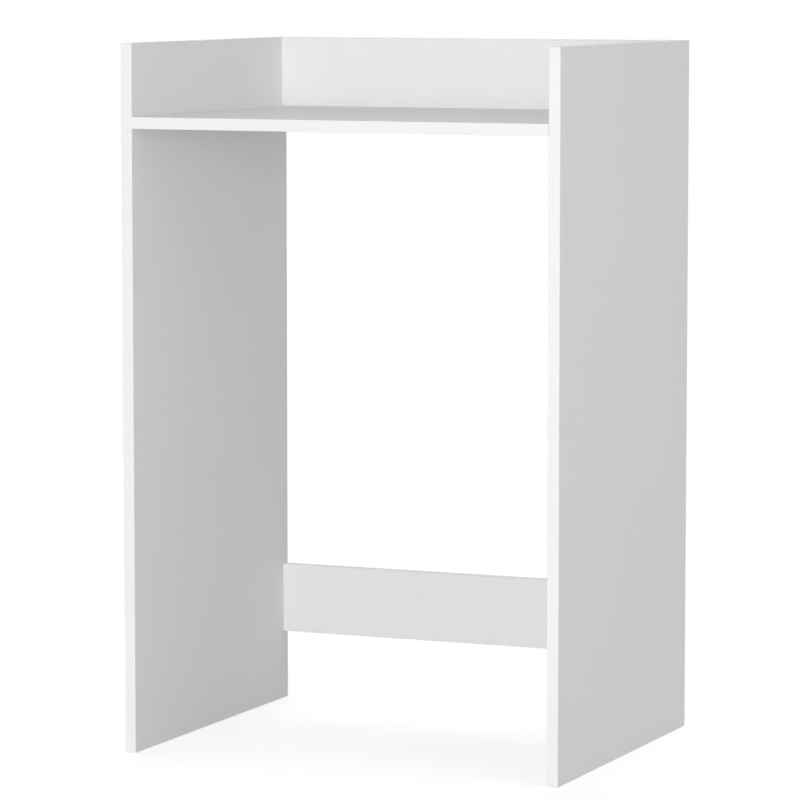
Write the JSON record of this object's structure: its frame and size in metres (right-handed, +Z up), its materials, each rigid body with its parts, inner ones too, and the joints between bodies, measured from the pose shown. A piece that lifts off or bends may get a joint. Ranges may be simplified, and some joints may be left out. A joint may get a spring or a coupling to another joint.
{
  "type": "washing machine surround cabinet",
  "caption": "Open-fronted white bathroom cabinet that stands over a washing machine: side panels, a shelf with a rear rail, a low rear rail, cam and dowel joints.",
  "frame": {"origin": "on the floor, under the middle of the cabinet's width and depth", "axes": "+Z up, the open front looks towards -Y, +X to the right as seen from the front"},
  "size_m": [0.64, 0.5, 0.976],
  "materials": {
    "melamine_board": "white satin melamine on chipboard",
    "edge_band": "white satin ABS",
    "cam_zinc": "bare zinc die casting",
    "bolt_steel": "bright zinc plating",
    "beech_dowel": "plain beech"
  },
  "bodies": {
    "boards": {"side_panel_left": "melamine_board", "side_panel_right": "melamine_board", "shelf": "melamine_board", "upper_rail": "melamine_board", "lower_rail": "melamine_board", "panel_front_band_left": "edge_band", "panel_front_band_right": "edge_band", "panel_rear_band_left": "edge_band", "panel_rear_band_right": "edge_band", "panel_top_band_left": "edge_band", "panel_top_band_right": "edge_band", "panel_foot_band_left": "edge_band", "panel_foot_band_right": "edge_band", "shelf_front_band": "edge_band", "shelf_rear_band": "edge_band", "upper_rail_top_band": "edge_band", "lower_rail_top_band": "edge_band", "lower_rail_foot_band": "edge_band", "shelf_cam_bolt_front_left": "bolt_steel", "shelf_cam_bolt_front_right": "bolt_steel", "shelf_cam_bolt_rear_left": "bolt_steel", "shelf_cam_bolt_rear_right": "bolt_steel", "upper_rail_cam_bolt_left": "bolt_steel", "upper_rail_cam_bolt_right": "bolt_steel", "lower_rail_cam_bolt_left": "bolt_steel", "lower_rail_cam_bolt_right": "bolt_steel", "shelf_dowel_front_left": "beech_dowel", "shelf_dowel_front_right": "beech_dowel", "shelf_dowel_rear_left": "beech_dowel", "shelf_dowel_rear_right": "beech_dowel", "upper_rail_dowel_left": "beech_dowel", "upper_rail_dowel_right": "beech_dowel", "lower_rail_dowel_left": "beech_dowel", "lower_rail_dowel_right": "beech_dowel", "upper_rail_foot_dowel_left": "beech_dowel", "upper_rail_foot_dowel_right": "beech_dowel"},
    "cam_shelf_front_left": {"shelf_cam_front_left": "cam_zinc"},
    "cam_shelf_front_right": {"shelf_cam_front_right": "cam_zinc"},
    "cam_shelf_rear_left": {"shelf_cam_rear_left": "cam_zinc"},
    "cam_shelf_rear_right": {"shelf_cam_rear_right": "cam_zinc"},
    "cam_upper_rail_left": {"upper_rail_cam_left": "cam_zinc"},
    "cam_upper_rail_right": {"upper_rail_cam_right": "cam_zinc"},
    "cam_lower_rail_left": {"lower_rail_cam_left": "cam_zinc"},
    "cam_lower_rail_right": {"lower_rail_cam_right": "cam_zinc"}
  },
  "joints": [
    {"name": "turn_shelf_front_left", "type": "hinge", "parent": "boards", "child": "cam_shelf_front_left", "pos_m": [-0.27, -0.2, 0.868], "axis": [0, 0, -1], "range_deg": [0, 180]},
    {"name": "turn_shelf_front_right", "type": "hinge", "parent": "boards", "child": "cam_shelf_front_right", "pos_m": [0.27, -0.2, 0.868], "axis": [0, 0, -1], "range_deg": [0, 180]},
    {"name": "turn_shelf_rear_left", "type": "hinge", "parent": "boards", "child": "cam_shelf_rear_left", "pos_m": [-0.27, 0.2, 0.868], "axis": [0, 0, -1], "range_deg": [0, 180]},
    {"name": "turn_shelf_rear_right", "type": "hinge", "parent": "boards", "child": "cam_shelf_rear_right", "pos_m": [0.27, 0.2, 0.868], "axis": [0, 0, -1], "range_deg": [0, 180]},
    {"name": "turn_upper_rail_left", "type": "hinge", "parent": "boards", "child": "cam_upper_rail_left", "pos_m": [-0.27, 0.242, 0.91], "axis": [0, 1, 0], "range_deg": [0, 180]},
    {"name": "turn_upper_rail_right", "type": "hinge", "parent": "boards", "child": "cam_upper_rail_right", "pos_m": [0.27, 0.242, 0.91], "axis": [0, 1, 0], "range_deg": [0, 180]},
    {"name": "turn_lower_rail_left", "type": "hinge", "parent": "boards", "child": "cam_lower_rail_left", "pos_m": [-0.27, 0.242, 0.134], "axis": [0, 1, 0], "range_deg": [0, 180]},
    {"name": "turn_lower_rail_right", "type": "hinge", "parent": "boards", "child": "cam_lower_rail_right", "pos_m": [0.27, 0.242, 0.134], "axis": [0, 1, 0], "range_deg": [0, 180]}
  ]
}
